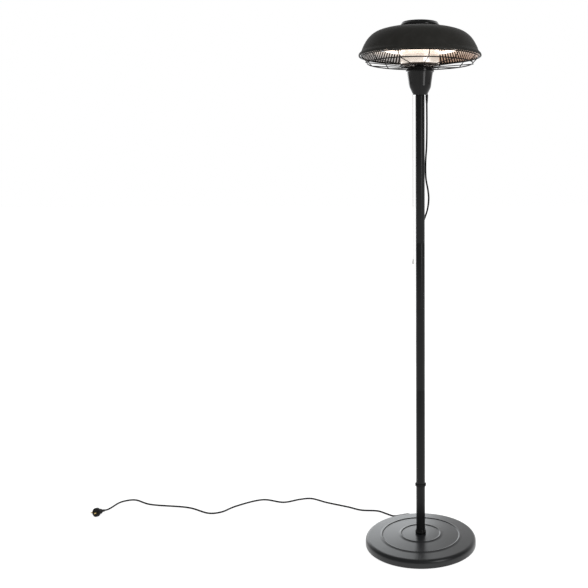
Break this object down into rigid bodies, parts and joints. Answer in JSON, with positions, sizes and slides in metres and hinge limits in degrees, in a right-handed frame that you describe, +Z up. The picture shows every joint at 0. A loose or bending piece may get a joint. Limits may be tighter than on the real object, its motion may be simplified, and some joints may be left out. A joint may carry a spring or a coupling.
{
  "type": "infrared patio heater tower",
  "caption": "Free-standing infrared patio heater: weighted round base, slim pole, pull-cord switch housing and a domed head with a ring lamp, reflectors and a wire guard.",
  "frame": {"origin": "on the floor at the middle of the round base", "axes": "+Z up along the pole, -Y towards the viewer of the picture (the front), +X to the viewer's right"},
  "size_m": [1.6947, 0.689, 2.1],
  "materials": {
    "matte_black_paint": "matte",
    "satin_paint": "satin",
    "gloss_black_paint": "gloss",
    "gloss_black_plastic": "gloss",
    "gray_plastic": "satin",
    "pale_plastic": "satin",
    "black_rubber": "matte",
    "cord_rubber": "satin",
    "polished_aluminium": "polished",
    "zinc_steel": "satin",
    "guard_wire": "satin",
    "cement": "matte",
    "white_ceramic": "satin",
    "quartz": "polished",
    "tungsten": "satin",
    "white_string": "matte",
    "brass_pin": "polished"
  },
  "bodies": {
    "heater": {"base_cover": "satin_paint", "base_plate": "zinc_steel", "base_weight": "cement", "base_foot_1": "black_rubber", "base_foot_2": "black_rubber", "base_foot_3": "black_rubber", "base_foot_4": "black_rubber", "base_plate_screw_1": "zinc_steel", "base_plate_screw_2": "zinc_steel", "base_plate_screw_3": "zinc_steel", "base_bolt": "zinc_steel", "pole_tube_lower": "satin_paint", "pole_tube_middle": "satin_paint", "pole_tube_upper": "satin_paint", "pole_coupler_lower": "zinc_steel", "pole_coupler_upper": "zinc_steel", "pole_foot_nut": "zinc_steel", "pole_foot_collar": "gloss_black_plastic", "pole_adapter": "zinc_steel", "stem_tube": "zinc_steel", "neck_shell_left": "gloss_black_plastic", "neck_shell_right": "gloss_black_plastic", "neck_screw_1": "zinc_steel", "neck_screw_2": "zinc_steel", "neck_lid": "gloss_black_plastic", "cord_strain_relief": "black_rubber", "pull_cord_bush": "gray_plastic", "pull_switch_body": "gray_plastic", "switch_wheel_pin": "zinc_steel", "switch_return_spring": "zinc_steel", "terminal_block": "white_ceramic", "tilt_switch": "gray_plastic", "hood_shell": "matte_black_paint", "reflector_dish": "polished_aluminium", "reflector_skirt": "polished_aluminium", "reflector_drum": "polished_aluminium", "hood_spacer": "zinc_steel", "hood_nut": "zinc_steel", "top_cap": "gloss_black_paint", "lamp_tube": "quartz", "lamp_filament": "tungsten", "lamp_socket_1": "white_ceramic", "lamp_socket_2": "white_ceramic", "lamp_clip_1": "zinc_steel", "lamp_clip_2": "zinc_steel", "lamp_bracket": "zinc_steel", "wire_guard": "guard_wire", "guard_hub": "satin_paint", "guard_clip_1": "zinc_steel", "guard_clip_2": "zinc_steel", "guard_clip_3": "zinc_steel", "mains_cord": "cord_rubber", "cord_clip_ring": "black_rubber", "plug_body": "black_rubber", "plug_pin_1": "brass_pin", "plug_pin_2": "brass_pin"},
    "pull": {"pull_string": "white_string", "pull_knob": "pale_plastic"},
    "switch_wheel": {"switch_wheel": "white_ceramic"}
  },
  "joints": [
    {"name": "pull_cord_slide", "type": "slide", "parent": "heater", "child": "pull", "axis": [0, 0, -1], "range_m": [0, 0.012], "stiffness_N_per_m": 100, "springref_m": -0.005},
    {"name": "switch_wheel_turn", "type": "hinge", "parent": "heater", "child": "switch_wheel", "pos_m": [-0.0201, -0.0168, 1.8496], "axis": [0, -1, 0], "range_deg": [0, 86]}
  ],
  "couplings": [
    {"joint": "switch_wheel_turn", "follows": "pull_cord_slide", "rad_per_m": 121.95}
  ]
}
